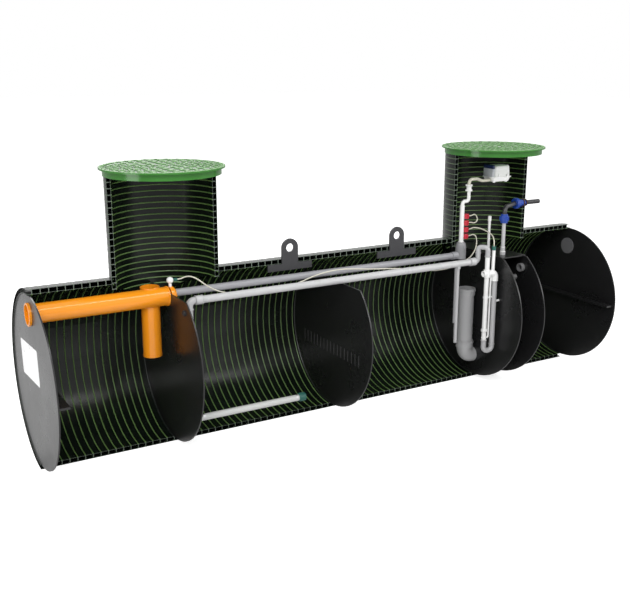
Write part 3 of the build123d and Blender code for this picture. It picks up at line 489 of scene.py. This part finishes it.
# Label on the inlet end plate: a sheet of white film with round corners, stuck on a little
# askew and left blank.
label_white, *_ = plastic("label_white", (0.95, 0.95, 0.95), 0.3, blotch=0.03, bump=0.00005)
label_place = (0.0056, 0.079, axis_height + 0.094)
label_size = (0.0008, 0.395, 0.205)
label_tilt = -4
label_corner = 0.012
bpy.ops.mesh.primitive_cube_add(size=1, location=label_place)
label = bpy.context.object
label.scale = label_size
label.rotation_euler = (radians(label_tilt), 0, 0)
bpy.ops.object.transform_apply(location=False, rotation=False, scale=True)
modifier = label.modifiers.new("round", "BEVEL")
modifier.width = label_corner
modifier.segments = 5
modifier.affect = "EDGES"
modifier.limit_method = "WEIGHT"
weights = label.data.attributes.new("bevel_weight_edge", "FLOAT", "EDGE")
for edge in label.data.edges:
    first, second = (label.data.vertices[index].co for index in edge.vertices)
    weights.data[edge.index].value = 1.0 if abs(first.x - second.x) > 1e-6 else 0.0
bpy.ops.object.modifier_apply(modifier=modifier.name)
settle(label, "blank_label", label_white)

# Lifting lugs: thick dark grey plate with an eye, welded against the wall's cut edge. The
# bracket that carries the blower in the second riser is of the same plate.
lug_grey, *_ = plastic("lug_grey", (0.028, 0.028, 0.031), 0.45)
dress(["lifting_lugs", "blower_bracket"], lug_grey)

# Inlet pipework: orange drain pipe of 110 mm with push-fit sockets, and the rolled beads
# that hold the sockets' seals.
drain_orange, *_ = plastic("drain_orange", (0.86, 0.29, 0.012), 0.09, blotch=0.06)
dress(["inlet_pipe", "inlet_drop_pipe", "inlet_socket", "inlet_end_cap"], drain_orange)
inlet_height = axis_height + 0.388
drop_place = (0.701, 0.034)
drain_radius = 0.055
bulkhead_x = 0.797
stub_top = inlet_height + 0.0585
drop_pipe_end = axis_height + 0.040
orange_rings = [
    ring(place, axis, drain_radius + past_pipe, half_width, half_depth)
    for place, axis, past_pipe, half_width, half_depth in (
        ((bulkhead_x - 0.006, 0, inlet_height), along, 0.0012, 0.005, 0.0035),
        ((*drop_place, stub_top), upright, -0.0005, 0.0022, 0.0022),
        ((*drop_place, drop_pipe_end), upright, 0.0004, 0.0016, 0.0016),
    )
]
settle(joined(orange_rings), "inlet_beads", drain_orange)

# Blank in the outlet end plate: a disc of dark grey plastic with a short stub, set in the
# plate.
blank_grey, *_ = plastic("blank_grey", (0.12, 0.12, 0.125), 0.5)
dress(["outlet_blank"], blank_grey)

# Air pipes of 40 mm and the other grey pipes: rigid plastic in several greys, pushed into
# sockets and bends that have a bead at the mouth. The short sockets on the plates' faces
# are dark, apart from the one on the last chamber wall. The manifold cup is painted a darker
# grey, as painted shade round the pipe in its mouth.
pipe_grey, *_ = plastic("pipe_grey", (0.40, 0.40, 0.405), 0.34, blotch=0.05)
dress(
    [
        "air_drop_pipe",
        "return_pipe",
        "transfer_pipe",
        "transfer_bend",
        "crossover_bend",
    ],
    pipe_grey,
)
near_pipe_grey, *_ = plastic("near_pipe_grey", (0.46, 0.46, 0.465), 0.26, blotch=0.05)
dress(["near_air_pipe", "outflow_pipe"], near_pipe_grey)
# Painted shade: the manifold cup takes a darker grey than the pipes.
cup_painted_shade_grey, *_ = plastic("cup_painted_shade_grey", (0.24, 0.24, 0.25), 0.38, blotch=0.2, size=20)
dress(["manifold_cup"], cup_painted_shade_grey)
far_pipe_grey, *_ = plastic("far_pipe_grey", (0.29, 0.29, 0.31), 0.36, blotch=0.05)
dress(["far_air_pipe"], far_pipe_grey)
dark_socket = (0.03, 0.03, 0.03)
last_socket_grey = (0.2, 0.2, 0.205)
last_socket_from_x = 3.2
socket_grey, socket_tree, socket_surface, _ = plastic("wall_socket_grey", dark_socket, 0.4)
in_last_socket = math_node(
    socket_tree, "GREATER_THAN", object_axes(socket_tree)["X"], last_socket_from_x
)
socket_tree.links.new(
    mix_colours(socket_tree, in_last_socket, dark_socket, last_socket_grey),
    socket_surface.inputs["Colour"],
)
dress(["wall_sockets"], socket_grey)
near_y = -0.185
near_height = axis_height + 0.391
diffuser_height = axis_height - 0.330
drop_bend_x, far_bend_x = 0.894, 2.936
air_socket_length = 0.0415
drop_pipe_x = 0.854
bend_reach = 0.05
lift_x, lift_y = 3.003, -0.240
return_x, return_y = 3.067, -0.250
grey_rings = [
    ring(place, axis, ring_radius, half_width, half_depth, steps=40)
    for place, axis, ring_radius, half_width, half_depth in (
        ((drop_bend_x + air_socket_length, near_y, near_height), along, 0.0262, 0.003, 0.0022),
        ((far_bend_x - air_socket_length, near_y, near_height), along, 0.0262, 0.003, 0.0022),
        ((drop_bend_x, near_y, near_height), along, 0.0258, 0.003, 0.0022),
        ((far_bend_x, near_y, near_height), along, 0.0258, 0.003, 0.0022),
        ((drop_pipe_x, near_y, near_height - bend_reach), upright, 0.0228, 0.004, 0.003),
        ((drop_pipe_x, near_y, diffuser_height + bend_reach), upright, 0.0228, 0.004, 0.003),
        ((2.965, near_y, axis_height + 0.448), upright, 0.0178, 0.004, 0.003),
        ((lift_x, lift_y, axis_height + 0.430), upright, 0.0182, 0.005, 0.003),
        ((return_x, return_y, axis_height - 0.200), upright, 0.0188, 0.004, 0.003),
        ((lift_x, lift_y, axis_height - 0.168), upright, 0.0188, 0.004, 0.003),
    )
]
settle(joined(grey_rings), "air_pipe_beads", pipe_grey)

# White airlift pipes, vent and manifold, glued from fittings and plain pipe, and the grey
# sample pipe with its thin tube.
pipe_white, *_ = plastic("pipe_white", (0.80, 0.80, 0.79), 0.28, blotch=0.03)
dress(
    [
        "ring_fitting",
        "airlift_riser",
        "airlift_tee",
        "airlift_air_tube",
        "airlift_clips",
        "vent_pipe",
        "manifold_pipe",
    ],
    pipe_white,
)
sample_colour = (0.40, 0.40, 0.405)
thin_tube_colour = (0.22, 0.22, 0.225)
thin_tube_edge_x = 2.7808
sample_grey, sample_tree, sample_surface, _ = plastic("sample_pipe_grey", sample_colour, 0.3)
in_thin_tube = math_node(
    sample_tree, "LESS_THAN", object_axes(sample_tree)["X"], thin_tube_edge_x
)
sample_tree.links.new(
    mix_colours(sample_tree, in_thin_tube, sample_colour, thin_tube_colour),
    sample_surface.inputs["Colour"],
)
dress(["sample_pipe"], sample_grey)
tee_height = axis_height + 0.310
tee_reach = 0.030
tee_half_height = 0.023
manifold_x = 2.961
white_rings = [
    ring(place, axis, ring_radius, half_width, half_depth, steps=40)
    for place, axis, ring_radius, half_width, half_depth in (
        ((lift_x - tee_reach, lift_y, tee_height), along, 0.0192, 0.003, 0.003),
        ((lift_x, lift_y, tee_height + tee_half_height), upright, 0.0205, 0.004, 0.0035),
        ((lift_x, lift_y, tee_height - tee_half_height), upright, 0.0205, 0.004, 0.0035),
        ((return_x, return_y, axis_height + 0.258), upright, 0.0205, 0.004, 0.0035),
        ((lift_x, lift_y, axis_height - 0.148), upright, 0.0165, 0.004, 0.003),
        ((manifold_x, 0, axis_height + 0.742), upright, 0.0152, 0.004, 0.003),
        ((manifold_x, 0, axis_height + 0.494), upright, 0.0166, 0.004, 0.003),
    )
]
vent_lip_place = (3.203, -0.010, axis_height + 0.6545)
white_rings.append(ring(vent_lip_place, upright, 0.0108, 0.0014, 0.0014, steps=32))
settle(joined(white_rings), "white_pipe_beads", pipe_white)

# Union above the manifold: two nuts with grip ribs, screwed on one body.
union_x = 3.013
union_bottom = axis_height + 0.845
nut_rib_radius = 0.0222
nut_rib_size = (0.0032, 0.0030, 0.0100)
union_ribs = []
for rib_height in (union_bottom + 0.0058, union_bottom + 0.0402):
    rib_place = (union_x + nut_rib_radius, 0, rib_height)
    rib = bevelled_block(nut_rib_size, rib_place, 0.0008)
    union_ribs.append(round_copies(rib, (union_x, 0, rib_height), upright, count=20))
for above_bottom in (0.0180, 0.0230, 0.0280):
    band_place = (union_x, 0, union_bottom + above_bottom)
    union_ribs.append(ring(band_place, upright, 0.0170, 0.0014, 0.0010, steps=40, sides=6))
settle(joined(union_ribs), "union_grip", pipe_white)

# Diffuser: a perforated rubber membrane sleeve on its tube, held by a steel band at each
# end, with a teal end cap.
membrane_colour = (0.50, 0.51, 0.50)
slit_colour = (0.26, 0.27, 0.27)
slit_scale = 260
slit_share = 0.16
membrane, membrane_tree, membrane_surface, _ = plastic("membrane", membrane_colour, 0.32)
slits = membrane_tree.nodes.new("ShaderNodeTexVoronoi")
slits.inputs["Scale"].default_value = slit_scale
slits.inputs["Randomness"].default_value = 0.25
slit_place = membrane_tree.nodes.new("ShaderNodeTexCoord")
membrane_tree.links.new(slit_place.outputs["Object"], slits.inputs["Vector"])
slit_mask = math_node(membrane_tree, "LESS_THAN", slits.outputs["Distance"], slit_share)
membrane_tree.links.new(
    mix_colours(membrane_tree, slit_mask, membrane_colour, slit_colour),
    membrane_surface.inputs["Colour"],
)
dress(["diffuser_tube"], membrane)
fitting_teal, *_ = plastic("fitting_teal", (0.012, 0.10, 0.08), 0.32)
dress(["diffuser_cap", "hose_tails"], fitting_teal)
band_steel, _, _, band_shader = plastic("band_steel", (0.55, 0.55, 0.56), 0.3, bump=0.0001)
band_shader.inputs["Metallic"].default_value = 1.0
band_places = (0.920, 1.545)
bands = [
    ring((band_x, near_y, diffuser_height), along, 0.0200, 0.0055, 0.0012, steps=48, sides=6)
    for band_x in band_places
]
settle(joined(bands), "diffuser_bands", band_steel)
cap_x = 1.5825
cap_rib_radius = 0.0252
cap_rib_place = (cap_x, near_y, diffuser_height + cap_rib_radius)
cap_rib = bevelled_block((0.034, 0.0036, 0.0030), cap_rib_place, 0.0008)
cap_ribs = round_copies(cap_rib, (cap_x, near_y, diffuser_height), along, count=16)
settle(cap_ribs, "diffuser_cap_grip", fitting_teal)

# Air valves: red plastic bodies with a collar at each end, a nut at the nozzle and a
# short lever in front.
valve_red, *_ = plastic("valve_red", (0.50, 0.016, 0.035), 0.22)
dress(["air_valves"], valve_red)
valve_x = 2.998
valve_heights = [axis_height + height for height in (0.530, 0.577, 0.624, 0.671)]
collar_offset = 0.0145
nut_offset = 0.0195
lever_size = (0.007, 0.012, 0.020)
lever_y, stem_y = -0.0215, -0.017
valve_trim = []
for valve_height in valve_heights:
    for offset in (-collar_offset, collar_offset):
        collar_place = (valve_x, 0, valve_height + offset)
        collar = ring(collar_place, upright, 0.0178, 0.0022, 0.0016, steps=36, sides=6)
        valve_trim.append(collar)
    nut = drum((valve_x + nut_offset, 0, valve_height), along, 0.0085, 0.006, sides=6)
    modifier = nut.modifiers.new("round", "BEVEL")
    modifier.width = 0.0009
    modifier.segments = 2
    pick_only(nut)
    bpy.ops.object.modifier_apply(modifier=modifier.name)
    lever = bevelled_block(lever_size, (valve_x, lever_y, valve_height), 0.002)
    stem = drum((valve_x, stem_y, valve_height), across, 0.006, 0.006, sides=20)
    valve_trim += [nut, lever, stem]
settle(joined(valve_trim), "valve_trim", valve_red)

# Blower: a white moulded base and hood, held together by clips at the seam, with ribs on
# the hood. Its air filter stands beside it, with grey pleats and a ribbed blue cap.
blower_white, *_ = plastic("blower_white", (0.92, 0.92, 0.91), 0.3, blotch=0.03)
dress(["blower_base", "blower_hood"], blower_white)
filter_grey, *_ = plastic("filter_grey", (0.60, 0.62, 0.66), 0.5)
dress(["blower_filter"], filter_grey)
cap_blue, *_ = plastic("cap_blue", (0.010, 0.022, 0.085), 0.4)
dress(["blower_filter_cap"], cap_blue)
filter_low, filter_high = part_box("blower_filter")
lid_low, lid_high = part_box("blower_filter_cap")
hood_low, hood_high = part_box("blower_hood")
base_low, base_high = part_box("blower_base")
pleat_count = 9
pleat_margin = 0.004
pleat_size = (
    filter_high[0] - filter_low[0] - 0.002,
    filter_high[1] - filter_low[1] + 0.003,
    0.0028,
)
pleat_x = (filter_low[0] + filter_high[0]) / 2 - 0.0015
pleat_y = (filter_low[1] + filter_high[1]) / 2
pleat_pitch = (filter_high[2] - filter_low[2] - 2 * pleat_margin) / (pleat_count - 1)
pleats = [
    bevelled_block(
        pleat_size,
        (pleat_x, pleat_y, filter_low[2] + pleat_margin + step * pleat_pitch),
        0.0009,
    )
    for step in range(pleat_count)
]
settle(joined(pleats), "filter_pleats", filter_grey)

clip_size = (0.016, 0.009, 0.026)
clip_inset = 0.035
clip_sunk = 0.004
clips = [
    bevelled_block(clip_size, (clip_x, side_y, hood_low[2] + clip_sunk), 0.002)
    for clip_x in (hood_low[0] + clip_inset, hood_high[0] - clip_inset)
    for side_y in (base_low[1] + clip_sunk, base_high[1] - clip_sunk)
]
hood_rib_size = (0.0022, hood_high[1] - hood_low[1] - 0.040, 0.003)
hood_rib_y = (hood_low[1] + hood_high[1]) / 2
hood_rib_inset = 0.045
hood_rib_pitch = 0.014
hood_rib_count = 5
for rib in range(hood_rib_count):
    rib_x = hood_low[0] + hood_rib_inset + hood_rib_pitch * rib
    rib_place = (rib_x, hood_rib_y, hood_high[2] - 0.0004)
    clips.append(bevelled_block(hood_rib_size, rib_place, 0.0008))
settle(joined(clips), "blower_clips", blower_white)

lid_rib_count = 6
lid_rib_margin = 0.014
lid_rib_size = (lid_high[0] - lid_low[0] + 0.0016, 0.004, lid_high[2] - lid_low[2] - 0.010)
lid_rib_x = (lid_low[0] + lid_high[0]) / 2
lid_rib_z = (lid_low[2] + lid_high[2]) / 2 - 0.002
lid_rib_pitch = (lid_high[1] - lid_low[1] - 2 * lid_rib_margin) / (lid_rib_count - 1)
lid_ribs = [
    bevelled_block(
        lid_rib_size,
        (lid_rib_x, lid_low[1] + lid_rib_margin + rib * lid_rib_pitch, lid_rib_z),
        0.001,
    )
    for rib in range(lid_rib_count)
]
settle(joined(lid_ribs), "filter_lid_ribs", cap_blue)

# Outflow pipe: blue compression fittings with grip ribs round their nuts, the black pipe
# between them, and the brown rubber grommet in the riser's wall. Two white collars go
# round the foot of the grey pipe.
fitting_blue, *_ = plastic("fitting_blue", (0.012, 0.055, 0.33), 0.3)
dress(["outflow_fittings"], fitting_blue)
poly_black, *_ = plastic("poly_black", (0.02, 0.02, 0.022), 0.36)
dress(["poly_pipe"], poly_black)
outflow_x, outflow_y = 3.182, -0.185
outlet_height = axis_height + 0.726
fitting_bottom = axis_height + 0.637
fitting_length = 0.058
nut_middle = fitting_bottom + 0.52 * fitting_length
upright_rib_place = (outflow_x + 0.0302, outflow_y, nut_middle)
upright_rib = bevelled_block((0.004, 0.0042, 0.028), upright_rib_place, 0.001)
nut_centre = (outflow_x, outflow_y, nut_middle)
upright_ribs = round_copies(upright_rib, nut_centre, upright, count=18)
wall_fitting_x = 3.438
wall_nut_x = wall_fitting_x + 0.014
lying_rib_place = (wall_nut_x, 0, outlet_height + 0.0362)
lying_rib = bevelled_block((0.024, 0.0046, 0.004), lying_rib_place, 0.001)
lying_ribs = round_copies(lying_rib, (wall_nut_x, 0, outlet_height), along, count=20)
fitting_top = (outflow_x, outflow_y, fitting_bottom + fitting_length)
nut_lips = [
    ring(fitting_top, upright, 0.0185, 0.003, 0.004, steps=40),
    ring((wall_fitting_x, 0, outlet_height), along, 0.0215, 0.003, 0.004, steps=40),
    ring((wall_fitting_x + 0.031, 0, outlet_height), along, 0.0300, 0.003, 0.0035, steps=40),
]
grips = [upright_ribs, lying_ribs, *nut_lips]
settle(joined(grips), "fitting_grip", fitting_blue)

grommet_brown, *_ = plastic("grommet_brown", (0.09, 0.035, 0.025), 0.6)
wall_inside_x = riser_centres[1] + riser_inner_radius
wall_outside_x = riser_centres[1] + riser_outer_radius
grommets = [
    ring((wall_inside_x - 0.002, 0, outlet_height), along, 0.0235, 0.0035, 0.0055, steps=40),
    ring((wall_outside_x + 0.001, 0, outlet_height), along, 0.0205, 0.003, 0.0050, steps=40),
]
settle(joined(grommets), "wall_grommet", grommet_brown)

collar_beads = [
    ring((outflow_x, outflow_y, collar_height), upright, *collar_section, steps=36)
    for collar_height, collar_section in (
        (axis_height + 0.468, (0.0150, 0.002, 0.0018)),
        (axis_height + 0.437, (0.0165, 0.003, 0.0028)),
    )
]
settle(joined(collar_beads), "outflow_collar_beads", pipe_white)

# Air hoses: soft cream tube, pushed on the valves' nozzles and led along the pipes to the
# hose tails. The heights of their routes are above the tank's axis.
hose_cream, *_ = plastic("hose_cream", (0.62, 0.60, 0.50), 0.4, blotch=0.1)
dress(["blower_hose"], hose_cream)
hose_radius = 0.004
hose_routes = {
    "loop_hose": (
        (3.024, 0, 0.671),
        (3.046, 0, 0.671),
        (3.0726, 0.002, 0.6797),
        (3.0975, 0.004, 0.6629),
        (3.0975, -0.004, 0.6321),
        (3.0726, -0.002, 0.6153),
        (3.046, 0, 0.624),
        (3.024, 0, 0.624),
    ),
    "airlift_hose": (
        (3.024, 0, 0.577),
        (3.040, 0, 0.577),
        (3.062, -0.005, 0.587),
        (3.095, -0.039, 0.584),
        (3.111, -0.090, 0.570),
        (3.099, -0.150, 0.562),
        (3.075, -0.205, 0.550),
        (3.057, -0.234, 0.536),
        (3.050, -0.245, 0.516),
        (3.050, -0.245, 0.496),
    ),
    "long_hose": (
        (3.024, 0, 0.530),
        (3.040, 0, 0.530),
        (3.062, -0.003, 0.538),
        (3.084, -0.007, 0.527),
        (3.092, -0.012, 0.500),
        (3.088, -0.018, 0.465),
        (3.064, -0.033, 0.430),
        (3.012, -0.060, 0.401),
        (2.961, -0.085, 0.387),
        (2.882, -0.110, 0.370),
        (2.785, -0.129, 0.355),
        (2.676, -0.135, 0.351),
        (2.565, -0.136, 0.360),
        (2.458, -0.137, 0.380),
        (2.350, -0.133, 0.399),
        (2.240, -0.130, 0.410),
        (2.128, -0.125, 0.419),
        (2.016, -0.119, 0.432),
        (1.906, -0.117, 0.443),
        (1.795, -0.121, 0.438),
        (1.690, -0.129, 0.422),
        (1.590, -0.138, 0.395),
        (1.490, -0.145, 0.382),
        (1.380, -0.149, 0.381),
        (1.268, -0.148, 0.384),
        (1.160, -0.142, 0.383),
        (1.062, -0.116, 0.407),
        (1.008, -0.084, 0.440),
        (0.966, -0.056, 0.479),
        (0.930, -0.032, 0.498),
        (0.902, -0.010, 0.492),
        (0.880, 0, 0.480),
        (0.858, 0, 0.480),
    ),
}
for name, route in hose_routes.items():
    curve = bpy.data.curves.new(name, "CURVE")
    curve.dimensions = "3D"
    curve.bevel_depth = hose_radius
    curve.bevel_resolution = 5
    curve.use_fill_caps = True
    spline = curve.splines.new("NURBS")
    spline.points.add(len(route) - 1)
    for point, (x, y, above_axis) in zip(spline.points, route):
        point.co = (x, y, axis_height + above_axis, 1)
    spline.order_u = 3
    spline.use_endpoint_u = True
    spline.resolution_u = 12
    curve.materials.append(hose_cream)
    hose = bpy.data.objects.new(f"{name}_tube", curve)
    bpy.context.scene.collection.objects.link(hose)
    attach(hose, "root")
    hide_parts(name)
    x, y, above_axis = route[0]

# Floor, light and camera: a white floor and surround for the camera, soft lamps at a plain
# level, and the photograph's own view.
bpy.ops.mesh.primitive_plane_add(size=80, location=(2, 10, -0.0005))
floor = bpy.context.object
floor.name = "floor"
floor_white = bpy.data.materials.new("floor_white")
floor_white.use_nodes = True
floor_shader = floor_white.node_tree.nodes["Principled BSDF"]
floor_shader.inputs["Base Color"].default_value = (0.9, 0.9, 0.9, 1)
floor_shader.inputs["Roughness"].default_value = 0.9
floor_shader.inputs["Specular IOR Level"].default_value = 0.0
ray = floor_white.node_tree.nodes.new("ShaderNodeLightPath")
floor_shader.inputs["Emission Color"].default_value = (1, 1, 1, 1)
floor_lift = 0.7
lift = math_node(floor_white.node_tree, "MULTIPLY", ray.outputs["Is Camera Ray"], floor_lift)
floor_white.node_tree.links.new(lift, floor_shader.inputs["Emission Strength"])
floor.data.materials.append(floor_white)

world = bpy.data.worlds.new("studio")
bpy.context.scene.world = world
world.use_nodes = True
sky = world.node_tree
background = sky.nodes["Background"]
background.inputs["Color"].default_value = (1, 1, 1, 1)
sky_ray = sky.nodes.new("ShaderNodeLightPath")
sky_light = 0.55
camera_ray, glossy_ray = (sky_ray.outputs[f"Is {kind} Ray"] for kind in ("Camera", "Glossy"))
seen_white = math_node(sky, "MAXIMUM", camera_ray, glossy_ray)
sky_level = math_node(sky, "MAXIMUM", seen_white, sky_light)
sky.links.new(sky_level, background.inputs["Strength"])

for name, place, target, length, width, power in (
    ("key", (-1.5, -4.5, 5.5), (1.8, 0, 0.5), 3.0, 3.0, 230),
    ("fill", (6.5, -5.0, 3.5), (2.4, 0, 0.5), 3.0, 3.0, 120),
    ("back", (2.0, 5.5, 5.0), (2.0, 0, 0.6), 3.0, 3.0, 120),
    ("strip", (2.9, -3.0, 5.2), (2.0, 0, 0.9), 6.0, 0.7, 80),
    ("side", (-4.5, -1.2, 1.6), (0, 0, 0.6), 2.5, 2.5, 60),
):
    lamp = bpy.data.lights.new(name, "AREA")
    lamp.shape = "RECTANGLE"
    lamp.size = length
    lamp.size_y = width
    lamp.energy = power
    lamp_object = bpy.data.objects.new(name, lamp)
    bpy.context.scene.collection.objects.link(lamp_object)
    lamp_object.location = place
    aim = Vector(target) - Vector(place)
    lamp_object.rotation_euler = aim.to_track_quat("-Z", "Y").to_euler()

camera = bpy.data.objects.new("camera", bpy.data.cameras.new("camera"))
bpy.context.scene.collection.objects.link(camera)
camera.location = (-0.971, -4.818, 2.251)
camera.rotation_euler = (radians(75.28), radians(-0.08), radians(-30.18))
camera.data.sensor_width = 36
camera.data.lens = 51.18
camera.data.shift_x = -0.0099
camera.data.shift_y = -0.009
bpy.context.scene.camera = camera
bpy.context.scene.view_settings.view_transform = "Standard"
